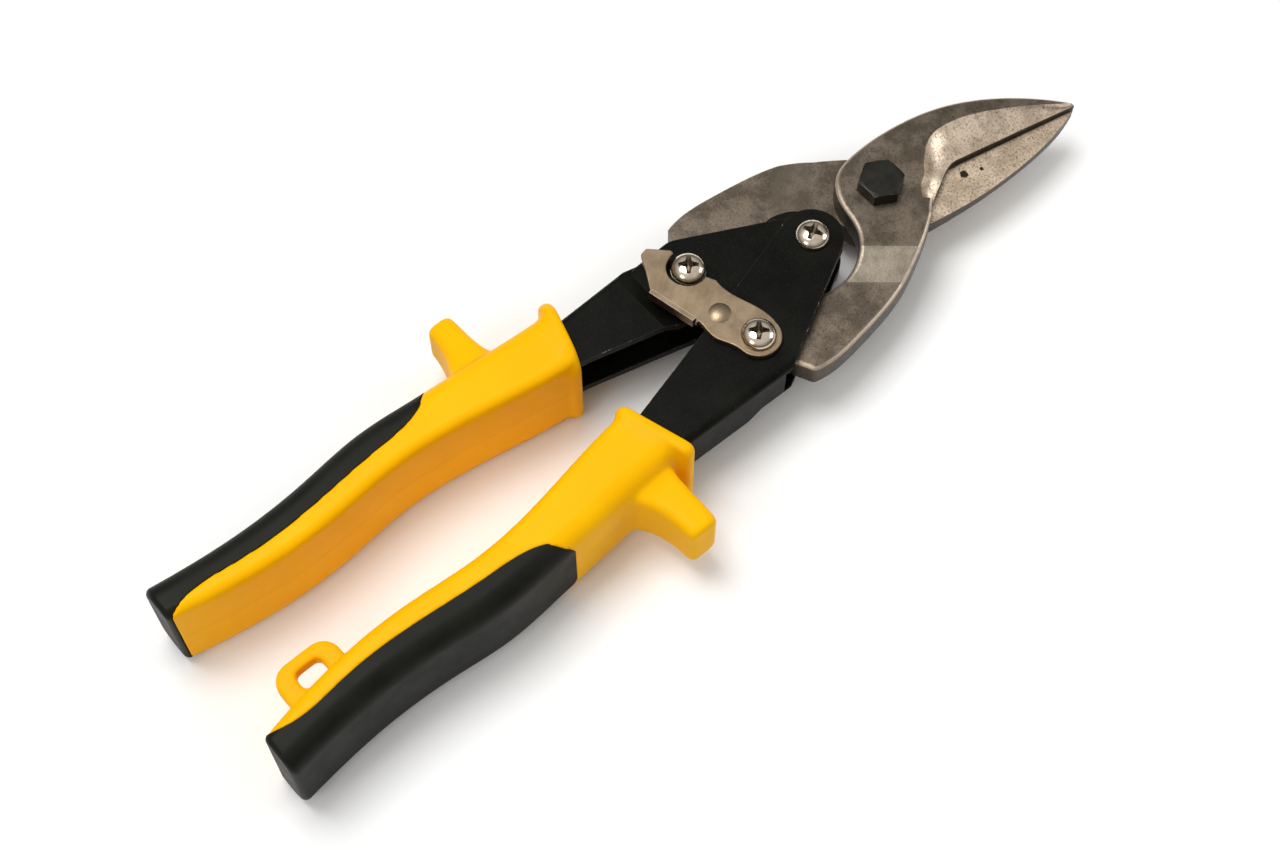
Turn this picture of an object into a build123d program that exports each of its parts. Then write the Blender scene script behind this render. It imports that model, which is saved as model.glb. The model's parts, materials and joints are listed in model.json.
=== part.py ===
"""Compound-action aviation snips, lying flat and closed, built from driving dimensions in mm.

The origin is under the middle of the tool, on the surface it lies on.
+X runs from the grips to the blade tips, +Y to the tool's left, +Z up.
Outlines are drawn from the main bolt's axis, at the height where the two jaws meet.
"""
from build123d import *
import os
from math import cos, hypot, radians, sin

# Overall size, and where the main bolt's axis stands in the part's frame
LENGTH = 250.0
TIP_X = 55.4
COLLAR_HALF_HEIGHT = 13.9
BOLT_X = LENGTH / 2 - TIP_X
BOLT_Z = COLLAR_HALF_HEIGHT

# The four pivots, measured from the main bolt
HANDLE_PIVOT = (-22.3, 0.0)
CATCH_PIVOT = (-50.6, 12.2)
LATCH_PIVOT = (-50.6, -12.2)

# Forged jaws
JAW_THICK = 6.2
JAW_GAP = 0.05
TAIL_DROP = 2.05
TAIL_EDGE_ROUND = 1.2
JAW_HOLE_R = 3.05
TAIL_HOLE_R = 2.55
OPEN_PIVOT_HOLE_R = 3.1
BLADE_EDGE_HEIGHT = 1.9
STEP_ANGLE = 229.0
STEP_START = 16.6
STEP_END = 25.4

# Pressed steel handles: ears interleave, so one is outermost on top and the other underneath
SHEET = 2.0
EAR_GAP = 0.1
INNER_EAR = 3.1
OUTER_EAR = INNER_EAR + SHEET + EAR_GAP
CHANNEL_TOP = OUTER_EAR + SHEET
INNER_EAR_OUT = INNER_EAR + SHEET
EAR_LOBE_R = 7.6
WEB_FRONT_X = -51.2
JOGGLE_FRONT_X = -61.0
JOGGLE_REAR_X = -65.0
BEND_R = 1.9
HANDLE_REAR_X = -180.0

# Screws, nuts and the main bolt
SCREW_R = 2.5
SCREW_HEAD_R = 4.2
SCREW_HEAD_HEIGHT = 2.7
NUT_FLATS = 8.0
NUT_HEIGHT = 4.0
BOLT_R = 3.0
BOLT_FLATS = 10.0
BOLT_HEAD_HEIGHT = 4.0
LOCK_NUT_HEIGHT = 6.0
SPRING_WASHER_THICK = 1.1

# Latch plate
LATCH_Z = CHANNEL_TOP + 0.25
LATCH_THICK = 1.3
CATCH_NOTCH_R = 4.95

# Moulded grips
GRIP_HALF_HEIGHT = 13.2
GRIP_REAR_X = TIP_X - LENGTH
PAD_THICK = 2.6
INNER_EDGE_ROUND = 2.4
OUTER_EDGE_ROUND = 5.0
REAR_ROUND = 1.5

# Return spring
SPRING_WIRE_R = 0.75
SPRING_COIL_R = 5.3
SPRING_PITCH = 1.65
SPRING_TURNS = 2.5

FLIP_AXIS = Axis((0, 0, BOLT_Z), (1, 0, 0))


def level(height, centre=(0.0, 0.0)):
    """A horizontal plane at a height above the jaws' parting plane, centred on a pivot."""
    return Plane(origin=(BOLT_X + centre[0], centre[1], BOLT_Z + height))


def side_plane(heading=0.0):
    """A vertical plane through the bolt's axis whose x runs along a heading in degrees."""
    along = (cos(radians(heading)), sin(radians(heading)), 0)
    across = (along[1], -along[0], 0)
    return Plane(origin=(BOLT_X, 0, BOLT_Z), x_dir=along, z_dir=across)


def save(builder, label):
    """Label a finished piece and write its STEP file."""
    builder.part.label = label
    export_step(builder.part, f"parts/{label}.step")


os.makedirs("parts", exist_ok=True)

# ---------------------------------------------------------------- forged jaws
# Both jaws have the same tail. It is drawn for the right-hand side, and turned over for the left.
TAIL_INNER_EDGE = [(-5.9, 9.2), (-10.3, 3.0), (-12.2, -4.4), (-16.8, -10.2), (-24.1, -12.5),
                   (-33.0, -10.6), (-41.0, -6.7)]
TAIL_OUTER_EDGE = [(-41.5, -26.6), (-30.0, -26.0), (-18.0, -23.9), (-6.8, -19.9), (4.5, -13.4)]
TAIL_END_R = 7.6
TAIL_END_ANGLE = 75
TAIL_END_X = -44.0
TAIL_CORNER = [(-47.5, -20.6), (-44.9, -25.9)]
TAIL_CORNER_ROUND = 1.6
TIP = (TIP_X, -12.2)
TOP_SPINE = [(50.5, -6.6), (44.0, -0.8), (36.0, 4.3), (26.5, 8.3), (11.5, 11.2), (1.5, 11.3)]
TOP_EDGE_HEEL = (21.5, -4.8)
TOP_THROAT = [(8.3, -10.2), (14.5, -7.0), (18.9, -5.0)]
BOTTOM_EDGE_BACK = [(2.0, 14.0), (8.6, 8.4), (14.5, 1.5), (20.5, -3.4)]
BOTTOM_EDGE = [(32.0, -6.5), (44.0, -9.3)]
BOTTOM_SPINE = [(46.0, -14.6), (33.0, -15.7), (19.0, -15.2), (6.0, -13.2), (-4.5, -9.6)]

# Where the hollow-ground face runs: on the cutting edge, on the ridge, and its height at the ridge
HOLLOW_STATIONS = [
    ((57.5, -12.9), (56.6, -12.0), 2.7),
    ((54.0, -12.0), (52.2, -10.4), 3.0),
    ((48.5, -11.1), (46.9, -6.6), 3.6),
    ((41.5, -9.8), (40.5, -2.4), 4.3),
    ((33.0, -7.8), (33.5, 1.0), 5.0),
    ((25.5, -5.8), (26.0, 3.1), 5.7),
    ((20.2, -4.6), (19.3, 2.7), 6.1),
    ((17.0, -5.7), (14.4, -0.6), 6.2),
    ((12.5, -7.9), (10.4, -4.9), 6.2),
    ((7.6, -10.7), (6.2, -9.3), 6.2),
]
HOLLOW_DEPTH = 0.55

# The bottom blade's underside slopes up from its middle to a thin back edge
UNDER_BEVEL = [(-9.0, -6.4), (-17.0, -1.7), (-17.0, -9.0), (-9.0, -9.0)]


def sided(points, side):
    """Points on the right-hand side as drawn (side 1), or turned over to the left (side -1)."""
    return [(x, side * y) for x, y in points]


def tail_end(side):
    """Three points on the tail's round end, about its own pivot."""
    cx, cy = LATCH_PIVOT
    reach = TAIL_END_R * cos(radians(TAIL_END_ANGLE))
    rise = TAIL_END_R * sin(radians(TAIL_END_ANGLE))
    return sided([(cx + reach, cy + rise), (cx - TAIL_END_R, cy), (cx + reach, cy - rise)], side)


def cut_profile(flip):
    """The jaws' side profile: full height at the bolt, stepped towards the middle at the tail."""
    low, high = JAW_GAP, JAW_THICK
    points = [(-90, low), (STEP_START, low), (STEP_END, low - TAIL_DROP), (90, low - TAIL_DROP)]
    points += [(90, high - TAIL_DROP), (STEP_END, high - TAIL_DROP), (STEP_START, high), (-90, high)]
    return [(s, flip * z) for s, z in points]


def hollow_section(edge, ridge, ridge_height):
    """One section of the cutter for the hollow face: an arc from the cutting edge up to the ridge."""
    run = hypot(ridge[0] - edge[0], ridge[1] - edge[1])
    heading = ((ridge[0] - edge[0]) / run, (ridge[1] - edge[1]) / run, 0)
    across = (heading[1], -heading[0], 0)
    plane = Plane(origin=(BOLT_X + edge[0], edge[1], BOLT_Z), x_dir=heading, z_dir=across)
    outside = (-2.0, BLADE_EDGE_HEIGHT - 0.1)
    middle = (run / 2, (BLADE_EDGE_HEIGHT + ridge_height) / 2 - HOLLOW_DEPTH)
    inside = (run + 0.8, ridge_height + 0.9)
    with BuildSketch(plane) as section:
        with BuildLine():
            ThreePointArc(outside, middle, inside)
            Polyline(inside, (run + 0.8, 12), (-2.0, 12), outside)
        make_face()
    return section.sketch


def draw_blade_profile(flip):
    """The side view of everything ahead of the handles: level at the bolt, thinner towards the tip."""
    thick = flip * JAW_THICK
    taper = [(8, thick), (30, thick * 0.86), (45, thick * 0.62), (62, thick * 0.35)]
    Spline(*taper, tangents=[(1, 0), (1, flip * -0.2)])
    Polyline(taper[-1], (62, flip * -9), (-100, flip * -9), (-100, thick), taper[0])


def rim(part, height):
    """The edges of a forged rim that lie wholly above a height: the curved ones and the tail's end."""
    above = part.edges().filter_by(lambda e: e.bounding_box().min.Z > BOLT_Z + height and e.length > 1)
    return above.filter_by(lambda e: e.geom_type != GeomType.LINE or e.center().X < BOLT_X + TAIL_END_X)


with BuildPart() as top_jaw:
    with BuildSketch(level(-8)):
        with BuildLine():
            end = tail_end(1)
            ThreePointArc(*end)
            Polyline(end[2], *TAIL_CORNER)
            Spline(TAIL_CORNER[-1], *TAIL_OUTER_EDGE)
            Spline(TAIL_OUTER_EDGE[-1], *TOP_THROAT, TOP_EDGE_HEEL)
            Line(TOP_EDGE_HEEL, TIP)
            Spline(TIP, *TOP_SPINE, *TAIL_INNER_EDGE, end[0])
        make_face()
    extrude(amount=20)
    with BuildSketch(side_plane(STEP_ANGLE)):
        Polygon(*cut_profile(1), align=None)
    extrude(amount=120, both=True, mode=Mode.INTERSECT)
    with BuildSketch(side_plane()):
        with BuildLine():
            draw_blade_profile(1)
        make_face()
    extrude(amount=60, both=True, mode=Mode.INTERSECT)
    fillet(top_jaw.edges().filter_by(Axis.Z).sort_by(Axis.Y)[:1], TAIL_CORNER_ROUND)
    fillet(rim(top_jaw.part, 1.0), TAIL_EDGE_ROUND)
    loft([hollow_section(*station) for station in HOLLOW_STATIONS], mode=Mode.SUBTRACT)
    with Locations(level(0)):
        Hole(JAW_HOLE_R)
    with Locations(level(0, LATCH_PIVOT)):
        Hole(TAIL_HOLE_R)
save(top_jaw, "top_jaw")

with BuildPart() as bottom_jaw:
    with BuildSketch(level(-12)):
        with BuildLine():
            end = tail_end(-1)
            ThreePointArc(*end)
            corner = sided(TAIL_CORNER, -1)
            outer = sided(TAIL_OUTER_EDGE[:-2], -1)
            Polyline(end[2], *corner)
            Spline(corner[-1], *outer, (-6.8, 19.9), *BOTTOM_EDGE_BACK)
            Spline(BOTTOM_EDGE_BACK[-1], *BOTTOM_EDGE, TIP)
            Spline(TIP, *BOTTOM_SPINE, *sided(TAIL_INNER_EDGE[1:], -1), end[0])
        make_face()
    extrude(amount=20)
    with BuildSketch(side_plane(-STEP_ANGLE)):
        Polygon(*cut_profile(-1), align=None)
    extrude(amount=120, both=True, mode=Mode.INTERSECT)
    with BuildSketch(side_plane()):
        with BuildLine():
            draw_blade_profile(-1)
        make_face()
    extrude(amount=60, both=True, mode=Mode.INTERSECT)
    with BuildSketch(side_plane(90)):
        Polygon(*UNDER_BEVEL, align=None)
    extrude(amount=60, both=True, mode=Mode.SUBTRACT)
    with Locations(level(0)):
        Hole(JAW_HOLE_R)
    with Locations(level(0, CATCH_PIVOT)):
        Hole(OPEN_PIVOT_HOLE_R)
save(bottom_jaw, "bottom_jaw")

# ---------------------------------------------------------------- pressed steel handles
# The right-hand one is drawn; the left-hand one is the same pressing turned over.
EAR_CORNER = (-49.2, -22.7)
HANDLE_OUTER = [(-84.0, -21.7), (-105.0, -21.8), (-120.0, -22.5), (-135.0, -23.2), (-150.0, -22.3),
                (-166.0, -21.4), (HANDLE_REAR_X, -22.0)]
HANDLE_INNER = [(HANDLE_REAR_X, -17.2), (-166.0, -15.8), (-150.0, -16.2), (-135.0, -17.3),
                (-120.0, -16.6), (-105.0, -13.9), (-84.0, -9.3)]
EAR_INNER_KNEE = (-61.0, -3.2)
EAR_INNER_ANGLE = 106
EAR_OUTER_ANGLE = -61.5


def lobe_point(angle):
    """A point on the ear's round end, about the handles' pivot."""
    cx, cy = HANDLE_PIVOT
    return (cx + EAR_LOBE_R * cos(radians(angle)), cy + EAR_LOBE_R * sin(radians(angle)))


def draw_handle_outline():
    """The handle in plan: the ears' round end, the channel, and the part inside the grip."""
    inner_start = lobe_point(EAR_INNER_ANGLE)
    outer_start = lobe_point(EAR_OUTER_ANGLE)
    ThreePointArc(inner_start, lobe_point(0), outer_start)
    Polyline(outer_start, EAR_CORNER, HANDLE_OUTER[0])
    Spline(*HANDLE_OUTER)
    Line(HANDLE_OUTER[-1], HANDLE_INNER[0])
    Spline(*HANDLE_INNER)
    Polyline(HANDLE_INNER[-1], EAR_INNER_KNEE, inner_start)


def handle_side(inset):
    """The handle's side view, moved in from its outer faces: level above, stepped in below the ears."""
    top, bottom, ear = CHANNEL_TOP - inset, inset - CHANNEL_TOP, inset - INNER_EAR_OUT
    stepped = [(10, ear), (JOGGLE_FRONT_X, ear), (JOGGLE_REAR_X, bottom)]
    return [(-200, top), (10, top), *stepped, (-200, bottom)]


def handle_cavity():
    """The space inside the channel, open on the inner side and between the ears."""
    along_web = [(x, y + SHEET) for x, y in HANDLE_OUTER[:-1]]
    front_inside = (WEB_FRONT_X, EAR_CORNER[1] + SHEET)
    rear_inside = (HANDLE_REAR_X - 5, HANDLE_OUTER[-1][1] + SHEET)
    with BuildPart() as cavity:
        with BuildSketch(level(-20)):
            with BuildLine():
                Polyline((20, 30), (20, -40), (WEB_FRONT_X, -40), front_inside, along_web[0])
                Spline(*along_web, rear_inside)
                Polyline(rear_inside, (HANDLE_REAR_X - 5, 30), (20, 30))
            make_face()
        extrude(amount=40)
        with BuildSketch(side_plane()):
            Polygon(*handle_side(SHEET), align=None)
        extrude(amount=60, both=True, mode=Mode.INTERSECT)
    return cavity.part


def web_bends(part):
    """The long outside corners of the channel, where the sheet is folded."""
    behind = part.edges().filter_by(lambda e: e.center().X < BOLT_X + WEB_FRONT_X and e.length > 10)
    return behind.filter_by(lambda e: e.center().Y < -19.5)


with BuildPart() as right_handle_channel:
    with BuildSketch(level(-20)):
        with BuildLine():
            draw_handle_outline()
        make_face()
    extrude(amount=40)
    with BuildSketch(side_plane()):
        Polygon(*handle_side(0), align=None)
    extrude(amount=60, both=True, mode=Mode.INTERSECT)
    fillet(web_bends(right_handle_channel.part), BEND_R)
    add(handle_cavity(), mode=Mode.SUBTRACT)
    with Locations(level(0, HANDLE_PIVOT), level(0, LATCH_PIVOT)):
        Hole(TAIL_HOLE_R)
save(right_handle_channel, "right_handle_channel")

with BuildPart() as left_handle_channel:
    add(right_handle_channel.part.rotate(FLIP_AXIS, 180))
save(left_handle_channel, "left_handle_channel")

# ---------------------------------------------------------------- moulded grips
GRIP_INNER = [(GRIP_REAR_X, -17.3), (-182.4, -14.8), (-168.0, -13.0), (-152.0, -13.0), (-135.0, -14.2),
              (-118.0, -12.8), (-103.0, -10.1), (-88.5, -8.1)]
GRIP_OUTER = [(-83.5, -23.6), (-96.0, -24.2), (-108.0, -25.2), (-122.0, -26.3), (-137.0, -27.2),
              (-152.0, -25.8), (-168.0, -25.0), (-184.0, -26.0), (GRIP_REAR_X, -27.4)]
PAD_EDGE = [(-112.0, -32.0), (-118.5, -24.6), (-123.5, -21.7), (-130.0, -20.3), (-138.0, -19.8),
            (-150.0, -18.7), (-164.5, -17.8), (-176.0, -18.4), (-185.0, -19.2), (-192.0, -18.0),
            (-198.0, -14.0)]
PAD_FRONT_X = -115.0
PAD_SHOULDER_X = -123.5
COLLAR_OUTER = (-83.1, -26.4)
COLLAR_INNER = (-89.0, -7.0)
COLLAR_THICK = 3.4
COLLAR_CORNER_ROUND = 6.5
COLLAR_LIP_ROUND = 1.5
COLLAR_BACK_ROUND = 1.2
RIGHT_STOP = [(-20.0, -96.6, 20.0, 20.0), (-27.0, -93.0, 10.8, 16.4), (-32.5, -91.9, 8.6, 15.6),
              (-40.4, -91.6, 7.8, 15.0)]
LEFT_STOP = [(20.0, -106.6, 21.0, 21.0), (27.5, -105.0, 10.2, 17.0), (33.5, -104.0, 7.6, 14.6),
             (40.4, -103.6, 6.8, 12.4)]
STOP_CORNER_ROUND = 2.2
STOP_TIP_ROUND = 1.6
LOOP_X = -177.0
LOOP_SIZE = (16.2, 14.0)
LOOP_CORNER_ROUND = 4.6
LOOP_EDGE_ROUND = 0.7
LOOP_HOLE_ROUND = 1.4
LOOP_TOP_Y = -3.0
LOOP_THICK = 4.2
LOOP_HOLE = (7.0, 4.8)
LOOP_HOLE_Y = -8.5


def grip_body():
    """The grip's outside, before the pad, the handle and the collar are taken into account."""
    with BuildPart() as body:
        with BuildSketch(level(-GRIP_HALF_HEIGHT)):
            with BuildLine():
                Spline(*GRIP_INNER)
                Line(GRIP_INNER[-1], GRIP_OUTER[0])
                Spline(*GRIP_OUTER)
                Line(GRIP_OUTER[-1], GRIP_INNER[0])
            make_face()
        extrude(amount=2 * GRIP_HALF_HEIGHT)
        long_rim = body.edges().filter_by(lambda e: e.length > 60)
        fillet(long_rim.group_by(Axis.Y)[0], OUTER_EDGE_ROUND)
        fillet(long_rim.group_by(Axis.Y)[-1], INNER_EDGE_ROUND)
        rear_rim = body.faces().sort_by(Axis.X)[0].edges()
        fillet(rear_rim, REAR_ROUND)
    return body.part


def grip_collar():
    """The flared lip at the grip's front end: a slab square to the grip, with rounded corners."""
    run = (COLLAR_INNER[0] - COLLAR_OUTER[0], COLLAR_INNER[1] - COLLAR_OUTER[1])
    middle = (BOLT_X + COLLAR_OUTER[0] + run[0] / 2, COLLAR_OUTER[1] + run[1] / 2, BOLT_Z)
    facing = Plane(origin=middle, x_dir=(run[0], run[1], 0), z_dir=(run[1], -run[0], 0))
    with BuildPart() as collar:
        with BuildSketch(facing) as outline:
            Rectangle(hypot(*run), 2 * COLLAR_HALF_HEIGHT)
            fillet(outline.vertices().sort_by(Axis.Y)[:2], COLLAR_CORNER_ROUND)
            fillet(outline.vertices().sort_by(Axis.Y)[-2:], INNER_EDGE_ROUND)
        extrude(amount=COLLAR_THICK / 2, both=True)
        along = Axis(middle, facing.z_dir)
        fillet(collar.faces().sort_by(along)[-1].edges(), COLLAR_LIP_ROUND)
        fillet(collar.faces().sort_by(along)[0].edges(), COLLAR_BACK_ROUND)
    return collar.part


def thumb_stop(sections):
    """The fin that keeps the hand off the channel: y, then middle x, length and height of each section."""
    side = -1 if sections[0][0] < 0 else 1
    slices = []
    for y, x, length, height in sections:
        plane = Plane(origin=(BOLT_X + x, y, BOLT_Z), x_dir=(1, 0, 0), z_dir=(0, side, 0))
        with BuildSketch(plane) as section:
            RectangleRounded(length, height, STOP_CORNER_ROUND)
        slices.append(section.sketch)
    with BuildPart() as stop:
        loft(slices)
        tip = stop.faces().sort_by(Axis.Y)[0 if side < 0 else -1]
        fillet(tip.edges(), STOP_TIP_ROUND)
    return stop.part


def grip_pad():
    """The soft pad let into the grip's outer side: a shell that laps over the top and bottom."""
    core_rear_x = GRIP_REAR_X + PAD_THICK
    core_edge = [(x, y + PAD_THICK) for x, y in GRIP_OUTER[:-1] + [(core_rear_x, -26.9)]]
    core_half = GRIP_HALF_HEIGHT - PAD_THICK
    with BuildPart() as pad:
        add(grip_body())
        with BuildSketch(level(-20)):
            with BuildLine():
                Spline(*PAD_EDGE)
                Polyline(PAD_EDGE[-1], (-198, -40), (-112, -40), PAD_EDGE[0])
            make_face()
        extrude(amount=40, mode=Mode.INTERSECT)
        with BuildSketch(side_plane()):
            with BuildLine():
                ThreePointArc((PAD_SHOULDER_X, -14), (PAD_FRONT_X, 0), (PAD_SHOULDER_X, 14))
                Polyline((PAD_SHOULDER_X, 14), (-200, 14), (-200, -14), (PAD_SHOULDER_X, -14))
            make_face()
        extrude(amount=60, both=True, mode=Mode.INTERSECT)
        with BuildSketch(level(-core_half)):
            with BuildLine():
                Spline(*core_edge)
                Polyline(core_edge[-1], (core_rear_x, 0), (GRIP_OUTER[0][0], 0), core_edge[0])
            make_face()
        extrude(amount=2 * core_half, mode=Mode.SUBTRACT)
    return pad.part


def hang_loop():
    """The flat eye on the right-hand grip's inner side, for hanging the tool up."""
    centre = (LOOP_X, LOOP_TOP_Y - LOOP_SIZE[1] / 2)
    with BuildPart() as loop:
        with BuildSketch(level(-LOOP_THICK / 2, centre)):
            RectangleRounded(*LOOP_SIZE, LOOP_CORNER_ROUND)
        extrude(amount=LOOP_THICK)
        fillet(loop.edges().filter_by(Axis.Z, reverse=True), LOOP_EDGE_ROUND)
        with BuildSketch(level(-LOOP_THICK, (LOOP_X, LOOP_HOLE_Y))):
            RectangleRounded(*LOOP_HOLE, LOOP_HOLE_ROUND)
        extrude(amount=2 * LOOP_THICK, mode=Mode.SUBTRACT)
    return loop.part


PLAIN_BODY = grip_body()
PAD = grip_pad()

with BuildPart() as right_grip_pad:
    add(PAD)
save(right_grip_pad, "right_grip_pad")

with BuildPart() as left_grip_pad:
    add(PAD.rotate(FLIP_AXIS, 180))
save(left_grip_pad, "left_grip_pad")

with BuildPart() as right_grip:
    add(PLAIN_BODY)
    add(grip_collar())
    add(thumb_stop(RIGHT_STOP))
    add(hang_loop())
    add(PAD, mode=Mode.SUBTRACT)
    add(right_handle_channel.part, mode=Mode.SUBTRACT)
save(right_grip, "right_grip")

with BuildPart() as left_grip:
    add(PLAIN_BODY.rotate(FLIP_AXIS, 180))
    add(grip_collar().rotate(FLIP_AXIS, 180))
    add(thumb_stop(LEFT_STOP))
    add(PAD.rotate(FLIP_AXIS, 180), mode=Mode.SUBTRACT)
    add(left_handle_channel.part, mode=Mode.SUBTRACT)
save(left_grip, "left_grip")

# ---------------------------------------------------------------- screws, nuts, washers and bolt
RECESS_ARM = (5.2, 1.1)
RECESS_DEPTH = 1.7
RECESS_CORE_R = 1.0
SCREW_DOME_ROUND = 1.9
SCREW_END_CHAMFER = 0.5
SCREW_END_PROUD = 0.6
HEX_CORNER = 0.5
THREAD_GAP = 0.02
SPACER_R = 4.0
SPACER_HALF = 3.05
WASHER_R = 6.0
BOLT_CORNER_R = BOLT_FLATS / 2 / cos(radians(30))
BOLT_CHAMFER = 1.1
BOLT_END_PROUD = 0.2
SPRING_WASHER_SPLIT = 0.8
LOCK_NUT_COLLAR = 1.2
LOCK_NUT_COLLAR_STEP = 0.5


def pan_head_screw(centre, seat, end):
    """A cross-recessed pan-head screw: its seat's height and its end's height, about one pivot."""
    with BuildPart() as screw:
        with BuildSketch(level(seat, centre)):
            Circle(SCREW_HEAD_R)
        extrude(amount=SCREW_HEAD_HEIGHT)
        fillet(screw.edges().sort_by(Axis.Z)[-1], SCREW_DOME_ROUND)
        with BuildSketch(level(end, centre)):
            Circle(SCREW_R)
        extrude(amount=seat - end)
        with BuildSketch(level(seat + SCREW_HEAD_HEIGHT - RECESS_DEPTH, centre)):
            Rectangle(*RECESS_ARM)
            Rectangle(*RECESS_ARM[::-1])
            Circle(RECESS_CORE_R)
        extrude(amount=RECESS_DEPTH, mode=Mode.SUBTRACT)
        chamfer(screw.edges().sort_by(Axis.Z)[0], SCREW_END_CHAMFER)
    return screw.part


def ring(centre, low, high, inner_r, outer_r):
    """A washer or spacer between two heights."""
    with BuildPart() as washer:
        with BuildSketch(level(low, centre)):
            Circle(outer_r)
            Circle(inner_r, mode=Mode.SUBTRACT)
        extrude(amount=high - low)
    return washer.part


def hex_nut(centre, top, height, flats, bore_r):
    """A hexagon nut with chamfered corners, hanging down from a height."""
    corner_r = flats / 2 / cos(radians(30))
    with BuildPart() as nut:
        with BuildSketch(level(top - height, centre)):
            RegularPolygon(corner_r, 6, rotation=30)
        extrude(amount=height)
        with BuildSketch(level(top - height, centre)):
            Circle(corner_r)
        cone = extrude(amount=height, mode=Mode.PRIVATE)
        rounded = cone.chamfer(HEX_CORNER, HEX_CORNER, cone.edges().filter_by(GeomType.CIRCLE))
        add(rounded, mode=Mode.INTERSECT)
        with Locations(level(top, centre)):
            Hole(bore_r)
    return nut.part


SCREW_CENTRE = {"centre_pivot": HANDLE_PIVOT, "latch_pivot": LATCH_PIVOT, "catch": CATCH_PIVOT}
SEAT_GAP = 0.05
LATCH_TOP = LATCH_Z + LATCH_THICK
SCREW_SEAT = {
    "centre_pivot": CHANNEL_TOP + SEAT_GAP,
    "latch_pivot": LATCH_TOP + SEAT_GAP,
    "catch": CHANNEL_TOP + SEAT_GAP,
}
NUT_SEAT = {
    "centre_pivot": -CHANNEL_TOP - SEAT_GAP,
    "latch_pivot": -INNER_EAR_OUT - SEAT_GAP,
    "catch": -CHANNEL_TOP - SEAT_GAP,
}

for name, centre in SCREW_CENTRE.items():
    screw_end = NUT_SEAT[name] - NUT_HEIGHT - SCREW_END_PROUD
    with BuildPart() as screw:
        add(pan_head_screw(centre, SCREW_SEAT[name], screw_end))
    save(screw, f"{name}_screw")
    with BuildPart() as nut:
        add(hex_nut(centre, NUT_SEAT[name], NUT_HEIGHT, NUT_FLATS, SCREW_R + THREAD_GAP))
    save(nut, f"{name}_nut")

with BuildPart() as centre_spacer:
    add(ring(HANDLE_PIVOT, -SPACER_HALF, SPACER_HALF, TAIL_HOLE_R, SPACER_R))
save(centre_spacer, "centre_spacer")

with BuildPart() as catch_spacer:
    add(ring(CATCH_PIVOT, INNER_EAR_OUT + SEAT_GAP, CHANNEL_TOP, TAIL_HOLE_R, SCREW_HEAD_R))
save(catch_spacer, "catch_spacer")

TAIL_TOP = JAW_THICK - TAIL_DROP
TAIL_BOTTOM = JAW_GAP - TAIL_DROP
with BuildPart() as right_tail_washers:
    add(ring(LATCH_PIVOT, TAIL_TOP + SEAT_GAP, OUTER_EAR - SEAT_GAP, TAIL_HOLE_R, WASHER_R))
    add(ring(LATCH_PIVOT, -INNER_EAR + SEAT_GAP, TAIL_BOTTOM - SEAT_GAP, TAIL_HOLE_R, WASHER_R))
save(right_tail_washers, "right_tail_washers")

with BuildPart() as left_tail_washers:
    add(right_tail_washers.part.rotate(FLIP_AXIS, 180))
save(left_tail_washers, "left_tail_washers")

BOLT_SEAT = JAW_THICK + SEAT_GAP
LOCK_NUT_TOP = -JAW_THICK - SEAT_GAP - SPRING_WASHER_THICK - SEAT_GAP
with BuildPart() as main_bolt:
    with BuildSketch(level(BOLT_SEAT)):
        RegularPolygon(BOLT_CORNER_R, 6, rotation=30)
    extrude(amount=BOLT_HEAD_HEIGHT)
    with BuildSketch(level(BOLT_SEAT)):
        Circle(BOLT_CORNER_R)
    head_cone = extrude(amount=BOLT_HEAD_HEIGHT, mode=Mode.PRIVATE)
    head_rim = head_cone.edges().filter_by(GeomType.CIRCLE).sort_by(Axis.Z)[-1]
    add(head_cone.chamfer(HEX_CORNER, BOLT_CHAMFER, [head_rim]), mode=Mode.INTERSECT)
    with BuildSketch(level(LOCK_NUT_TOP - LOCK_NUT_HEIGHT - BOLT_END_PROUD)):
        Circle(BOLT_R)
    extrude(until=Until.NEXT)
save(main_bolt, "main_bolt")

with BuildPart() as main_spring_washer:
    add(ring((0, 0), LOCK_NUT_TOP + SEAT_GAP, -BOLT_SEAT, BOLT_R + SEAT_GAP, BOLT_FLATS / 2))
    with BuildSketch(level(LOCK_NUT_TOP, (BOLT_FLATS / 2, 0))):
        Rectangle(BOLT_FLATS / 2, SPRING_WASHER_SPLIT)
    extrude(amount=2 * SPRING_WASHER_THICK, mode=Mode.SUBTRACT)
save(main_spring_washer, "main_spring_washer")

with BuildPart() as main_lock_nut:
    hex_height = LOCK_NUT_HEIGHT - LOCK_NUT_COLLAR
    add(hex_nut((0, 0), LOCK_NUT_TOP, hex_height, BOLT_FLATS, BOLT_R + THREAD_GAP))
    with BuildSketch(level(LOCK_NUT_TOP - LOCK_NUT_HEIGHT)):
        Circle(BOLT_FLATS / 2 - LOCK_NUT_COLLAR_STEP)
        Circle(BOLT_R + THREAD_GAP, mode=Mode.SUBTRACT)
    extrude(amount=LOCK_NUT_COLLAR + HEX_CORNER)
save(main_lock_nut, "main_lock_nut")

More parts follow.
